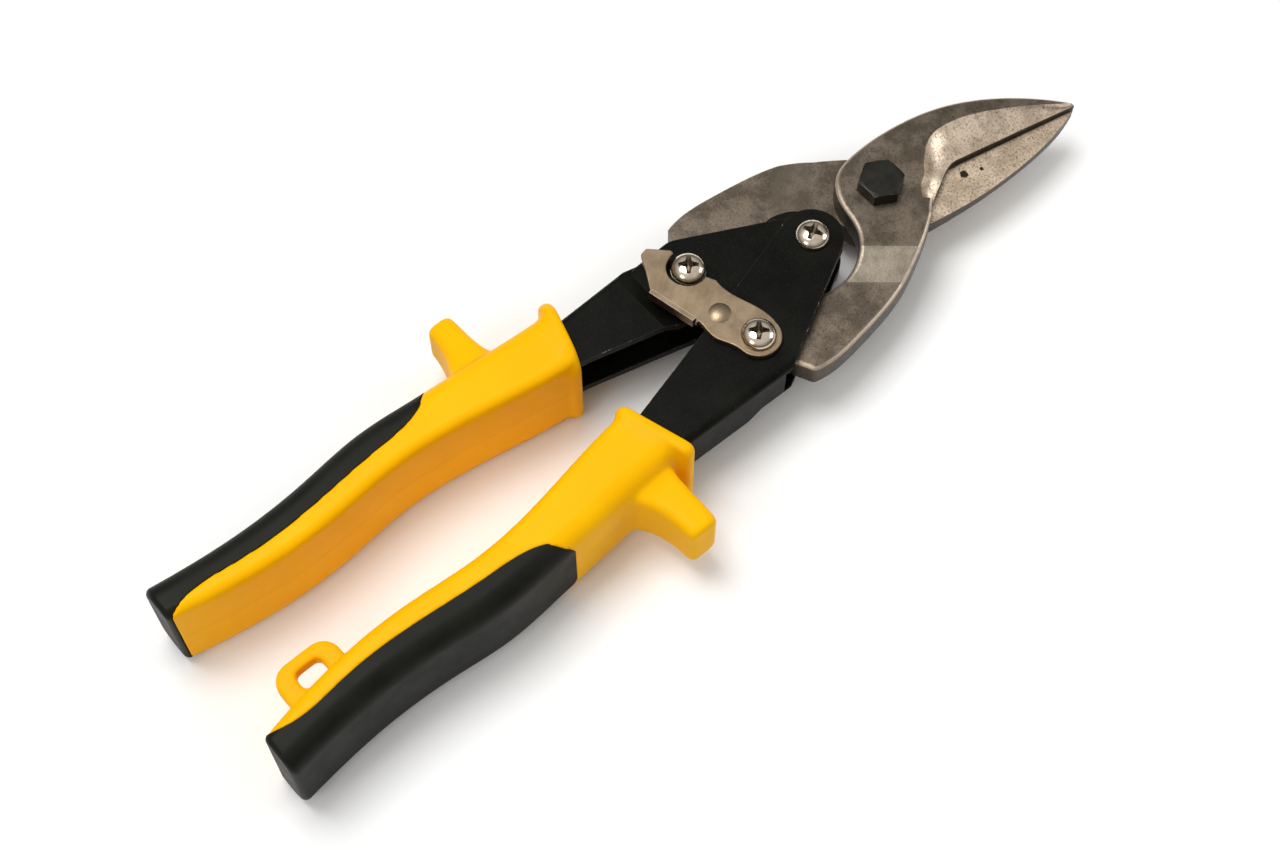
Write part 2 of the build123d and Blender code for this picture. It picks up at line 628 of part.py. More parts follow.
# ---------------------------------------------------------------- latch
LATCH_LOBE = [(-56.1, -12.6), (-50.9, -17.7), (-45.1, -12.2)]
LATCH_FRONT_EDGE = [(-45.1, -12.2), (-45.6, -6.6), (-47.9, 0.6), (-48.1, 5.2)]
NOTCH_CENTRE = (-51.0, 12.2)
NOTCH_ANGLES = (-70, -170, -270)
LATCH_NOSE = [(-50.6, 18.0), (-54.9, 22.4), (-56.9, 22.0), (-58.9, 18.0), (-62.0, 12.6)]
LATCH_THUMB_END = (-59.2, -0.4)
LATCH_REAR_EDGE = [(-58.5, -0.6), (-58.6, -6.0), (-56.1, -12.6)]
LATCH_NOSE_ROUND = 0.8
LATCH_RIM_ROUND = 0.25
THUMB_TAB_THICK = 1.2
THUMB_TAB_HEIGHT = 3.0
DIMPLE_CENTRE = (-53.4, -2.0)
DIMPLE_R = 2.7
DIMPLE_RISE = 0.65


def notch_point(angle):
    """A point on the notch that hooks round the catch screw's head."""
    return (
        NOTCH_CENTRE[0] + CATCH_NOTCH_R * cos(radians(angle)),
        NOTCH_CENTRE[1] + CATCH_NOTCH_R * sin(radians(angle)),
    )


with BuildPart() as latch_plate:
    with BuildSketch(level(LATCH_Z)):
        with BuildLine():
            Spline(*LATCH_FRONT_EDGE)
            Line(LATCH_FRONT_EDGE[-1], notch_point(NOTCH_ANGLES[0]))
            ThreePointArc(*[notch_point(angle) for angle in NOTCH_ANGLES])
            Polyline(notch_point(NOTCH_ANGLES[-1]), *LATCH_NOSE, LATCH_THUMB_END, LATCH_REAR_EDGE[0])
            Spline(*LATCH_REAR_EDGE, tangents=[(0, -1), (0.1, -1)])
            ThreePointArc(*LATCH_LOBE)
        make_face()
    extrude(amount=LATCH_THICK)
    nose = latch_plate.edges().filter_by(Axis.Z).filter_by(lambda e: e.center().Y > 17.5)
    fillet(nose, LATCH_NOSE_ROUND)
    fillet(latch_plate.faces().sort_by(Axis.Z)[-1].edges(), LATCH_RIM_ROUND)
    with BuildSketch(level(LATCH_Z)):
        tab_inner = [(-61.7, 12.2), (LATCH_THUMB_END[0] + 0.2, LATCH_THUMB_END[1] + 0.3)]
        tab_outer = [(x - THUMB_TAB_THICK, y) for x, y in tab_inner[::-1]]
        Polygon(*tab_inner, *tab_outer, align=None)
    extrude(amount=THUMB_TAB_HEIGHT)
    dimple_origin = level(LATCH_TOP, DIMPLE_CENTRE).origin
    with BuildSketch(Plane(dimple_origin, x_dir=(1, 0, 0), z_dir=(0, -1, 0))):
        with BuildLine():
            ThreePointArc((0, DIMPLE_RISE), (DIMPLE_R * 0.55, DIMPLE_RISE * 0.72), (DIMPLE_R, 0))
            Polyline((DIMPLE_R, 0), (0, 0), (0, DIMPLE_RISE))
        make_face()
    revolve(axis=Axis(dimple_origin, (0, 0, 1)))
    with Locations(level(LATCH_TOP, LATCH_PIVOT)):
        Hole(TAIL_HOLE_R)
save(latch_plate, "latch_plate")

with BuildPart() as latch_washer:
    add(ring(LATCH_PIVOT, CHANNEL_TOP + THREAD_GAP, LATCH_Z - THREAD_GAP, TAIL_HOLE_R, SCREW_HEAD_R))
save(latch_washer, "latch_washer")

# ---------------------------------------------------------------- return spring
# A torsion spring round the centre spacer; its legs spread the two channels' webs.
COIL_HEIGHT = SPRING_PITCH * SPRING_TURNS
coil_start = level(-COIL_HEIGHT / 2, HANDLE_PIVOT).origin
LEG_PATH = [(-33.7, 3.2), (-51.7, 19.0)]
LEG_BEND_R = 6.0


def spring_leg(side):
    """One leg, from the coil's end back between the tails and out to the web."""
    height = side * COIL_HEIGHT / 2
    with BuildPart() as leg:
        with BuildLine(level(height, HANDLE_PIVOT)) as path:
            points = sided([(0.0, SPRING_COIL_R)] + LEG_PATH, side)
            FilletPolyline(*points, radius=LEG_BEND_R)
        with BuildSketch(Plane(origin=path.line @ 0, z_dir=path.line % 0)):
            Circle(SPRING_WIRE_R)
        sweep(path=path.line)
    return leg.part


with BuildPart() as return_spring:
    with BuildLine(Plane(coil_start, x_dir=(0, -1, 0), z_dir=(0, 0, 1))) as coil_path:
        Helix(pitch=SPRING_PITCH, height=COIL_HEIGHT, radius=SPRING_COIL_R)
    with BuildSketch(Plane(origin=coil_path.line @ 0, z_dir=coil_path.line % 0)):
        Circle(SPRING_WIRE_R)
    sweep(path=coil_path.line, is_frenet=True)
    add(spring_leg(1))
    add(spring_leg(-1))
save(return_spring, "return_spring")
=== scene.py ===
"""The looks of a pair of compound-action aviation snips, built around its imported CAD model.

Every length is in metres, in the row's frame.
"""
import json
import math

import bmesh
import bpy
import numpy as np
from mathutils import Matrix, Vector


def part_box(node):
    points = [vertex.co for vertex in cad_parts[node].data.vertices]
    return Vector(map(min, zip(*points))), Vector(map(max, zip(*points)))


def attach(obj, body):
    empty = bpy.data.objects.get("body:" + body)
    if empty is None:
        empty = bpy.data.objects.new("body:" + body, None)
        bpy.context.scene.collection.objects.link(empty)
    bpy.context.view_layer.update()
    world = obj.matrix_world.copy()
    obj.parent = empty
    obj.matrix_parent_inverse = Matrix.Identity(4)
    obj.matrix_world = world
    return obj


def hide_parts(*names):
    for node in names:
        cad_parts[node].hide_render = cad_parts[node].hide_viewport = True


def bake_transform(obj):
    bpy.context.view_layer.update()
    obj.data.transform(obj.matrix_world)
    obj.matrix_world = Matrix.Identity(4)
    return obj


MM = 0.001
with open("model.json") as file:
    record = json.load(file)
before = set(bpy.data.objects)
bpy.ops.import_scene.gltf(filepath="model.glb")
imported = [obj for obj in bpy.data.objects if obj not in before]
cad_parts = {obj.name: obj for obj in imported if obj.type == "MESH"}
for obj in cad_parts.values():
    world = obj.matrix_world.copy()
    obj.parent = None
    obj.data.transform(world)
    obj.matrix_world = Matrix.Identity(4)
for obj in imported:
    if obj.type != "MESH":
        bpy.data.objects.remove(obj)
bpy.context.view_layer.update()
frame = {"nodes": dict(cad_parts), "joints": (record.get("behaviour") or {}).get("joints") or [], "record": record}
joints = {joint["name"]: joint for joint in frame["joints"]}
BOLT = Vector(joints["bottom_jaw_swing"]["pos_m"])
HANDLE_PIVOT = Vector(joints["handle_open"]["pos_m"])


# ---------------------------------------------------------------- shader helpers
BEVEL_SAMPLES = 6


def opaque(color):
    """A socket as it is, or three colour values with full alpha."""
    return color if isinstance(color, bpy.types.NodeSocket) else (*color, 1)


class Shader:
    """A node material under construction: each method adds nodes and returns an output socket."""

    def __init__(self, name):
        self.material = bpy.data.materials.new(name)
        self.material.use_nodes = True
        self.tree = self.material.node_tree
        self.surface = self.tree.nodes["Principled BSDF"]

    def node(self, kind, **settings):
        """Add a node with some of its properties set."""
        made = self.tree.nodes.new(kind)
        for name, value in settings.items():
            setattr(made, name, value)
        return made

    def feed(self, socket, value):
        """Link a socket, or set its constant."""
        if isinstance(value, bpy.types.NodeSocket):
            self.tree.links.new(value, socket)
        else:
            socket.default_value = value

    def place(self, stretch=(1, 1, 1), turn=0.0, origin=(0, 0, 0)):
        """Object coordinates, moved to an origin, turned about Z and stretched."""
        source = self.node("ShaderNodeTexCoord").outputs["Object"]
        moved = self.node("ShaderNodeMapping", vector_type="TEXTURE")
        self.feed(moved.inputs["Vector"], source)
        moved.inputs["Location"].default_value = origin
        moved.inputs["Rotation"].default_value = (0, 0, turn)
        scaled = self.node("ShaderNodeMapping", vector_type="POINT")
        self.feed(scaled.inputs["Vector"], moved.outputs["Vector"])
        scaled.inputs["Scale"].default_value = stretch
        return scaled.outputs["Vector"]

    def distance(self, vector):
        """How far a vector reaches from its origin."""
        made = self.node("ShaderNodeVectorMath", operation="LENGTH")
        self.feed(made.inputs[0], vector)
        return made.outputs["Value"]

    def axis(self, vector, letter):
        """One component of a vector."""
        split = self.node("ShaderNodeSeparateXYZ")
        self.feed(split.inputs["Vector"], vector)
        return split.outputs[letter]

    def noise(self, size, detail=3.0, rough=0.55, at=None):
        """Noise whose features are about a size in metres, from 0 to 1."""
        made = self.node("ShaderNodeTexNoise")
        self.feed(made.inputs["Vector"], at if at is not None else self.place())
        made.inputs["Scale"].default_value = 1.0 / size
        made.inputs["Detail"].default_value = detail
        made.inputs["Roughness"].default_value = rough
        return made.outputs["Fac"]

    def specks(self, spacing):
        """Distance to the nearest of a scatter of points, in units of their spacing."""
        made = self.node("ShaderNodeTexVoronoi", feature="F1")
        self.feed(made.inputs["Vector"], self.place())
        made.inputs["Scale"].default_value = 1.0 / spacing
        return made.outputs["Distance"]

    def ramp(self, value, low, high, start=0.0, end=1.0):
        """A smooth step from start to end as value goes from low to high."""
        made = self.node("ShaderNodeMapRange", interpolation_type="SMOOTHSTEP")
        for socket, given in zip(made.inputs, (value, low, high, start, end)):
            self.feed(socket, given)
        return made.outputs["Result"]

    def math(self, operation, a, b=0.0):
        """Arithmetic on one or two values, clamped to 0..1 as a mask needs, except for ABSOLUTE."""
        made = self.node("ShaderNodeMath", operation=operation, use_clamp=operation != "ABSOLUTE")
        self.feed(made.inputs[0], a)
        self.feed(made.inputs[1], b)
        return made.outputs["Value"]

    def band(self, value, low, high, soft):
        """1 between low and high, fading to 0 over a soft width."""
        rise = self.ramp(value, low - soft, low + soft)
        fall = self.ramp(value, high - soft, high + soft, 1.0, 0.0)
        return self.math("MULTIPLY", rise, fall)

    def mix(self, factor, first, second):
        """A colour between two colours."""
        made = self.node("ShaderNodeMix", data_type="RGBA")
        self.feed(made.inputs["Factor"], factor)
        self.feed(made.inputs["A"], opaque(first))
        self.feed(made.inputs["B"], opaque(second))
        return made.outputs["Result"]

    def tilt(self):
        """How level the surface is: 1 on faces square to Z, 0 on upright ones."""
        normal = self.node("ShaderNodeNewGeometry").outputs["Normal"]
        return self.math("ABSOLUTE", self.axis(normal, "Z"))

    def edges(self, radius, low=0.02, high=0.22):
        """A mask of the surface within a radius of a sharp edge, from a slight bend to a strong one."""
        bevel = self.node("ShaderNodeBevel", samples=BEVEL_SAMPLES)
        bevel.inputs["Radius"].default_value = radius
        normal = self.node("ShaderNodeNewGeometry").outputs["Normal"]
        dot = self.node("ShaderNodeVectorMath", operation="DOT_PRODUCT")
        self.feed(dot.inputs[0], bevel.outputs["Normal"])
        self.feed(dot.inputs[1], normal)
        return self.ramp(dot.outputs["Value"], 1.0 - low, 1.0 - high)

    def bump(self, height, depth, under=None):
        """A bump of a real depth in metres."""
        made = self.node("ShaderNodeBump")
        made.inputs["Strength"].default_value = 1.0
        self.feed(made.inputs["Distance"], depth)
        self.feed(made.inputs["Height"], height)
        if under is not None:
            self.feed(made.inputs["Normal"], under)
        return made.outputs["Normal"]

    def finish(self, color, roughness, metallic=0.0, normal=None, **sockets):
        """Fill in the surface and return the material."""
        self.feed(self.surface.inputs["Base Color"], opaque(color))
        self.feed(self.surface.inputs["Roughness"], roughness)
        self.feed(self.surface.inputs["Metallic"], metallic)
        if normal is not None:
            self.feed(self.surface.inputs["Normal"], normal)
        for name, value in sockets.items():
            self.feed(self.surface.inputs[name.replace("_", " ")], value)
        return self.material


# ---------------------------------------------------------------- materials
# Where a jaw's tail steps down: its heading from the bolt in degrees, and where the slope runs
STEP_HEADING = 229.0
STEP_SPAN = (16.6 * MM, 25.4 * MM)
STEP_SOFT = 1.6 * MM

# The cutting edge, the ground face beside it and that face's two pits, each a place and a radius
BLADE_START_X = BOLT.x + 7 * MM
GROUND_START_X = (BOLT.x + 2 * MM, BOLT.x + 3 * MM)
EDGE_HEEL = BOLT + Vector((21.5, -4.8, 0)) * MM
EDGE_HEADING = math.atan2(-7.4, 34.9)
# The dark line beside the cutting edge, oily dirt and a painted shadow of the top blade: its span across the edge
# and its softness
OIL_AND_SHADOW_SPAN = (-0.50 * MM, 0.30 * MM)
OIL_AND_SHADOW_SOFT = 0.12 * MM
PITS = (
    (BOLT + Vector((21.4, -8.2, 0)) * MM, 1.0 * MM),
    (BOLT + Vector((25.8, -9.9, 0)) * MM, 0.5 * MM),
)

# Steel colours
PIT_DARK = (0.035, 0.028, 0.020)
PIT_DEEP = (0.020, 0.014, 0.009)
SKIN_LIGHT = (0.185, 0.148, 0.112)
SKIN_DARK = (0.098, 0.077, 0.056)
SKIN_GRAIN = (0.026, 0.020, 0.014)
STEP_PALE = (0.26, 0.245, 0.19)
# Painted shade for the jaws' upright sides
SIDE_PAINTED_SHADE = (0.045, 0.035, 0.025)
# Pale steel for edges rubbed by wear and for a painted highlight on sloping rims
RUBBED_STEEL_AND_HIGHLIGHT = (0.60, 0.49, 0.385)
GROUND_GRAIN = (0.10, 0.077, 0.055)
# Colour of that dark line: oily dirt and a painted shadow
OIL_AND_SHADOW_BLACK = (0.030, 0.022, 0.015)
STAIN_BROWN = (0.16, 0.12, 0.08)
RUBBED_PLATE = (0.9, 0.86, 0.78)
SCRATCH_TURN = 0.6

# Moulded grips' mould line
SEAM_HALF = 0.10 * MM
SEAM_SOFT = 0.06 * MM


def mottled(s, light, dark, grain_dark, strength):
    """Scaly steel's colour, with soft blotches, a dark grain and a few pits, then the two noises."""
    blotch = s.noise(7 * MM, 5, 0.65)
    grain = s.noise(0.55 * MM, 3, 0.75)
    skin = s.mix(s.ramp(blotch, 0.40, 0.60), dark, light)
    skin = s.mix(s.ramp(grain, 0.47, 0.66, 0.0, strength), skin, grain_dark)
    pits = s.ramp(s.specks(3.1 * MM), 0.10, 0.03)
    skin = s.mix(s.math("MULTIPLY", pits, 0.8), skin, PIT_DARK)
    return skin, blotch, grain


def forged_steel(name, flip, band_strength, flat=None):
    """Forged jaw skin: brown-grey and scaly, with a paler band at its step, a painted shade on its upright sides,
    a painted highlight on its sloping rims and its edges rubbed bright.

    A jaw given two flat colours has a ground parting face ahead of its bolt.
    """
    s = Shader(name)
    heading = math.radians(STEP_HEADING * flip)
    along = s.axis(s.place(turn=heading, origin=BOLT), "X")
    step = s.band(along, *STEP_SPAN, STEP_SOFT)
    skin, blotch, grain = mottled(s, SKIN_LIGHT, SKIN_DARK, SKIN_GRAIN, 0.55)
    step = s.math("MULTIPLY", step, s.ramp(s.noise(2.2 * MM, 4), 0.35, 0.65, 0.35, 1.0))
    skin = s.mix(s.math("MULTIPLY", step, band_strength), skin, STEP_PALE)
    if flat:
        skin = ground_flat(s, skin, *flat)
    level = s.tilt()
    # Upright sides are darkened: painted shade
    upright = s.ramp(level, 0.30, 0.10)
    skin = s.mix(s.math("MULTIPLY", upright, 0.75), skin, SIDE_PAINTED_SHADE)
    # Sloping rims are lightened as a painted highlight; sharp edges are lightened by real wear
    rim_highlight = s.band(level, 0.45, 0.93, 0.08)
    worn = s.math("MULTIPLY", s.edges(0.25 * MM), 0.45)
    patchy = s.ramp(s.noise(5 * MM), 0.25, 0.5, 0.5, 0.9)
    bright = s.math("MULTIPLY", s.math("MAXIMUM", rim_highlight, worn), patchy)
    color = s.mix(bright, skin, RUBBED_STEEL_AND_HIGHLIGHT)
    rough = s.ramp(grain, 0.3, 0.7, 0.36, 0.50)
    normal = s.bump(grain, 0.035 * MM)
    normal = s.bump(blotch, 0.15 * MM, normal)
    return s.finish(color, rough, 0.85, normal)


def ground_flat(s, skin, light, dark):
    """The parting face's grind over the skin, with its pits and a dark line along the edge: oily dirt and a
    painted shadow of the top blade.
    """
    color = mottled(s, light, dark, GROUND_GRAIN, 0.75)[0]
    for spot, radius in PITS:
        ragged = s.math("MULTIPLY", s.noise(0.9 * MM, 3), 1.6 * radius)
        reach = s.math("ADD", s.distance(s.place(stretch=(1, 1, 0), origin=spot)), ragged)
        color = s.mix(s.ramp(reach, 2.0 * radius, 1.6 * radius), color, PIT_DEEP)
    beside = s.axis(s.place(turn=EDGE_HEADING, origin=EDGE_HEEL), "Y")
    # A painted shadow of the top blade's edge, with oily dirt, along the edge's line
    oil_and_shadow = s.band(beside, *OIL_AND_SHADOW_SPAN, OIL_AND_SHADOW_SOFT)
    color = s.mix(s.math("MULTIPLY", oil_and_shadow, 0.85), color, OIL_AND_SHADOW_BLACK)
    ahead = s.ramp(s.axis(s.place(), "X"), *GROUND_START_X)
    up = s.ramp(s.axis(s.node("ShaderNodeNewGeometry").outputs["Normal"], "Z"), 0.90, 0.95)
    return s.mix(s.math("MULTIPLY", ahead, up), skin, color)


def ground_steel(name, light, dark):
    """Ground blade face: paler and grainier than the skin, with a soft sheen."""
    s = Shader(name)
    color, blotch, grain = mottled(s, light, dark, GROUND_GRAIN, 0.65)
    rough = s.ramp(grain, 0.3, 0.7, 0.30, 0.44)
    normal = s.bump(grain, 0.045 * MM)
    return s.finish(color, rough, 0.9, s.bump(blotch, 0.06 * MM, normal))


def cutting_edge(name):
    """The narrow sheared face under the cutting edge, painted dark for the shade it lies in, with a grain."""
    s = Shader(name)
    grain = s.noise(1.2 * MM, 4, 0.7)
    # Dark colours: painted shade on this narrow upright face
    color = s.mix(s.ramp(grain, 0.35, 0.7), (0.022, 0.017, 0.012), (0.075, 0.058, 0.042))
    return s.finish(color, s.ramp(grain, 0.3, 0.7, 0.38, 0.5), 0.6, s.bump(grain, 0.02 * MM))


def painted_steel(name):
    """Black paint on pressed steel, dusty, greyed along its edges by wear and a painted highlight, and chipped to
    metal in places.
    """
    s = Shader(name)
    peel = s.noise(0.8 * MM, 2, 0.5)
    dust = s.noise(14 * MM, 5, 0.65)
    fine = s.noise(0.45 * MM, 3, 0.7)
    paint = s.mix(s.ramp(dust, 0.35, 0.75), (0.0022, 0.0024, 0.0016), (0.0062, 0.0060, 0.0044))
    paint = s.mix(s.ramp(fine, 0.56, 0.72, 0.0, 0.5), paint, (0.034, 0.032, 0.026))
    # Edges greyed: wear and a painted highlight
    paint = s.mix(s.math("MULTIPLY", s.edges(0.45 * MM, 0.02, 0.25), 0.5), paint, (0.045, 0.041, 0.034))
    patches = s.ramp(s.noise(3.5 * MM, 5, 0.7), 0.56, 0.64)
    chips = s.math("MULTIPLY", s.edges(0.35 * MM, 0.05, 0.3), patches)
    color = s.mix(chips, paint, (0.50, 0.44, 0.36))
    rough = s.ramp(dust, 0.3, 0.7, 0.34, 0.46)
    metal = s.math("MULTIPLY", chips, 0.9)
    return s.finish(color, rough, metal, s.bump(peel, 0.012 * MM), Specular_IOR_Level=0.07)


def moulded_yellow(name):
    """Smooth yellow plastic with a faint mould line round its middle."""
    s = Shader(name)
    cloud = s.noise(25 * MM, 4, 0.6)
    color = s.mix(s.ramp(cloud, 0.3, 0.75), (0.88, 0.435, 0.0002), (0.93, 0.475, 0.0004))
    grime = s.math("MULTIPLY", s.edges(0.8 * MM, 0.02, 0.4), s.ramp(s.noise(4 * MM, 4), 0.5, 0.8))
    color = s.mix(s.math("MULTIPLY", grime, 0.35), color, (0.45, 0.22, 0.004))
    height = s.axis(s.place(origin=BOLT), "Z")
    seam = s.band(height, -SEAM_HALF, SEAM_HALF, SEAM_SOFT)
    upright = s.ramp(s.tilt(), 0.5, 0.2)
    line = s.math("MULTIPLY", seam, upright)
    normal = s.bump(s.noise(1.6 * MM, 3), 0.02 * MM)
    normal = s.bump(line, 0.08 * MM, normal)
    rough = s.ramp(s.noise(7 * MM, 4), 0.3, 0.7, 0.36, 0.46)
    return s.finish(color, rough, 0.0, normal, Specular_IOR_Level=0.06)


def soft_rubber(name):
    """Black over-moulded rubber, slightly dusty, with a fine grain."""
    s = Shader(name)
    grain = s.noise(0.35 * MM, 2, 0.6)
    cloud = s.noise(12 * MM, 4, 0.6)
    color = s.mix(s.ramp(cloud, 0.3, 0.75), (0.0055, 0.0055, 0.0036), (0.0110, 0.0108, 0.0072))
    rough = s.ramp(cloud, 0.3, 0.7, 0.44, 0.56)
    return s.finish(color, rough, 0.0, s.bump(grain, 0.015 * MM), Specular_IOR_Level=0.12)


def recess_shadow(name):
    """The inside of a driver recess, painted dark as shade, with a mottled grain."""
    s = Shader(name)
    grime = s.noise(0.6 * MM, 4, 0.6)
    # Dark colours: painted shade inside the recess; the noise only varies it
    color = s.mix(s.ramp(grime, 0.35, 0.7), (0.09, 0.068, 0.045), (0.30, 0.24, 0.17))
    return s.finish(color, s.ramp(grime, 0.3, 0.7, 0.30, 0.5), 0.9, s.bump(grime, 0.02 * MM))


def polished(name, light, dark):
    """Bright plating on a small turned head, with only a faint cloudiness."""
    s = Shader(name)
    cloud = s.noise(2.5 * MM, 4, 0.6)
    fine = s.noise(0.5 * MM, 3, 0.6)
    color = s.mix(s.ramp(cloud, 0.35, 0.7), light, dark)
    return s.finish(color, s.ramp(fine, 0.35, 0.7, 0.13, 0.22), 1.0, s.bump(cloud, 0.012 * MM))


def plated(name, light, dark, rough, stain):
    """Plated steel: two tones, fine scratches along one heading, and darker stains."""
    s = Shader(name)
    cloud = s.noise(5 * MM, 5, 0.65)
    stretch = s.place(stretch=(0.05, 1, 1), turn=SCRATCH_TURN)
    scratch = s.noise(0.35 * MM, 2, 0.6, stretch)
    color = s.mix(s.ramp(cloud, 0.3, 0.7), light, dark)
    spots = s.ramp(s.specks(3.2 * MM), 0.14, 0.04)
    color = s.mix(s.math("MULTIPLY", spots, stain), color, STAIN_BROWN)
    worn = s.edges(0.3 * MM)
    color = s.mix(s.math("MULTIPLY", worn, 0.6), color, RUBBED_PLATE)
    roughness = s.ramp(scratch, 0.3, 0.75, rough, rough + 0.16)
    return s.finish(color, roughness, 1.0, s.bump(scratch, 0.006 * MM))


def black_oxide(name):
    """Oiled black bolt steel whose corners are rubbed grey."""
    s = Shader(name)
    cloud = s.noise(3 * MM, 5, 0.6)
    color = s.mix(s.ramp(cloud, 0.3, 0.75), (0.007, 0.007, 0.005), (0.015, 0.0135, 0.010))
    worn = s.math("MULTIPLY", s.edges(0.4 * MM), s.ramp(s.noise(1.5 * MM, 4), 0.35, 0.65))
    color = s.mix(worn, color, (0.20, 0.165, 0.125))
    return s.finish(color, s.ramp(cloud, 0.3, 0.7, 0.34, 0.48), 0.55, s.bump(cloud, 0.02 * MM))


SLOT_MATERIALS = {
    "handle_paint": painted_steel("black_paint"),
    "grip_yellow": moulded_yellow("yellow_plastic"),
    "grip_black": soft_rubber("black_rubber"),
    "nickel_screw": polished("nickel_heads", (0.80, 0.70, 0.57), (0.62, 0.52, 0.40)),
    "latch_nickel": plated("latch_nickel", (0.290, 0.218, 0.142), (0.205, 0.150, 0.096),
                           0.32, 0.45),
    "bolt_black": black_oxide("black_oxide"),
    "zinc_hardware": plated("zinc_plate", (0.66, 0.66, 0.64), (0.52, 0.52, 0.50), 0.28, 0.2),
    "spring_steel": plated("spring_wire", (0.50, 0.48, 0.45), (0.38, 0.36, 0.33), 0.30, 0.2),
}
NODE_MATERIALS = {
    "top_jaw": forged_steel("forged_top_jaw", 1, 0.5),
    "bottom_jaw": forged_steel("forged_bottom_jaw", -1, 0.1,
                               flat=((0.70, 0.56, 0.42), (0.50, 0.39, 0.285))),
}
node_slots = {part["node"]: part["material_slot"] for part in frame["record"]["subparts"]}
for name, part in frame["nodes"].items():
    part.data.materials.clear()
    part.data.materials.append(NODE_MATERIALS.get(name) or SLOT_MATERIALS[node_slots[name]])


# ---------------------------------------------------------------- ground faces of the top jaw
HOLLOW_MIN_AREA = 200 * MM * MM


def cad_faces(mesh):
    """The polygons of each CAD face, which shares no vertices with its neighbours."""
    parent = list(range(len(mesh.vertices)))

    def root(vertex):
        while parent[vertex] != vertex:
            parent[vertex] = parent[parent[vertex]]
            vertex = parent[vertex]
        return vertex

    for polygon in mesh.polygons:
        first = root(polygon.vertices[0])
        for vertex in polygon.vertices[1:]:
            parent[root(vertex)] = first
    groups = {}
    for polygon in mesh.polygons:
        groups.setdefault(root(polygon.vertices[0]), []).append(polygon)
    return groups.values()


def finish_blade(node, kinds):
    """Give the blade's hollow face its ground finish and its sheared face a painted shade, found by how each one
    lies.
    """
    mesh = frame["nodes"][node].data
    for material in kinds.values():
        mesh.materials.append(material)
    for group in cad_faces(mesh):
        area = sum(polygon.area for polygon in group)
        middle = sum((polygon.center * polygon.area for polygon in group), Vector()) / area
        facing = sum((polygon.normal * polygon.area for polygon in group), Vector()) / area
        kind = blade_face(area, middle, facing)
        if kind in kinds:
            slot = 1 + list(kinds).index(kind)
            for polygon in group:
                polygon.material_index = slot


def blade_face(area, middle, facing):
    """Name a CAD face by its size and lie: the hollow, the sheared edge, or none."""
    if facing.z > 0.7 and facing.length < 0.96 and area > HOLLOW_MIN_AREA:
        return "hollow"
    if facing.y < -0.8 and facing.length > 0.97 and middle.x > BLADE_START_X:
        return "sheared"
    return None


finish_blade("top_jaw", {
    "hollow": ground_steel("hollow_grind", (0.72, 0.59, 0.46), (0.50, 0.40, 0.30)),
    "sheared": cutting_edge("sheared_edge_painted_shade"),
})


# ---------------------------------------------------------------- moulded grips
VOXEL = 0.45 * MM
WELD_DISTANCE = 0.001 * MM
FILLET_STEPS = 26
FILLET_RATE = 0.9
SMOOTH_STEPS = 5
SMOOTH_RATE = 0.5


def add_piece(name, mesh):
    """A new object in the scene that holds a mesh."""
    piece = bpy.data.objects.new(name, mesh)
    bpy.context.scene.collection.objects.link(piece)
    return piece


def apply_modifiers(piece):
    """Replace a piece's mesh by the one its modifiers make."""
    evaluated = piece.evaluated_get(bpy.context.evaluated_depsgraph_get())
    mesh = bpy.data.meshes.new_from_object(evaluated)
    piece.modifiers.clear()
    piece.data = mesh


def neighbour_pull(places, edges, counts):
    """From each vertex to the average of its neighbours."""
    total = np.zeros_like(places)
    np.add.at(total, edges[:, 0], places[edges[:, 1]])
    np.add.at(total, edges[:, 1], places[edges[:, 0]])
    return total / counts[:, None] - places


def soften(piece):
    """Fill inside corners with a mould's fillets, then take off the last sharpness."""
    mesh = piece.data
    places = np.empty(len(mesh.vertices) * 3)
    mesh.vertices.foreach_get("co", places)
    places = places.reshape(-1, 3)
    edges = np.empty(len(mesh.edges) * 2, np.int64)
    mesh.edges.foreach_get("vertices", edges)
    edges = edges.reshape(-1, 2)
    counts = np.bincount(edges.ravel(), minlength=len(places)).astype(float)
    for step in range(FILLET_STEPS + SMOOTH_STEPS):
        pull = neighbour_pull(places, edges, counts)
        if step < FILLET_STEPS:
            normals = np.empty(places.size)
            mesh.vertices.foreach_get("normal", normals)
            normals = normals.reshape(-1, 3)
            outward = np.clip((pull * normals).sum(1), 0, None)
            places = places + FILLET_RATE * outward[:, None] * normals
        else:
            places = places + SMOOTH_RATE * pull
        mesh.vertices.foreach_set("co", places.ravel())
        mesh.update()


def moulded_grip(node, body):
    """A grip with a mould's soft corners, in place of its CAD node."""
    piece = add_piece(node + "_moulding", frame["nodes"][node].data.copy())
    weld = piece.modifiers.new("weld", "WELD")
    weld.merge_threshold = WELD_DISTANCE
    remesh = piece.modifiers.new("remesh", "REMESH")
    remesh.mode = "VOXEL"
    remesh.voxel_size = VOXEL
    apply_modifiers(piece)
    soften(piece)
    piece.data.shade_smooth()
    piece.data.materials.clear()
    piece.data.materials.append(SLOT_MATERIALS["grip_yellow"])
    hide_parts(node)
    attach(piece, body)


moulded_grip("right_grip", "right_handle")
moulded_grip("left_grip", "left_handle")


# ---------------------------------------------------------------- pan-head screws
HEAD_R = 4.2 * MM
HEAD_HEIGHT = 2.7 * MM
SHANK_R = 2.5 * MM
SHANK_CHAMFER = 0.5 * MM
TURNED_SEGMENTS = 72
SHARP_ANGLE = math.radians(35)

# The head's section from its crown to its seat, as shares of its radius and height
HEAD_PROFILE = [(0.0, 1.0), (0.25, 0.985), (0.45, 0.93), (0.62, 0.84), (0.78, 0.70),
                (0.90, 0.52), (0.98, 0.30), (1.0, 0.16), (0.985, 0.05), (0.95, 0.0)]

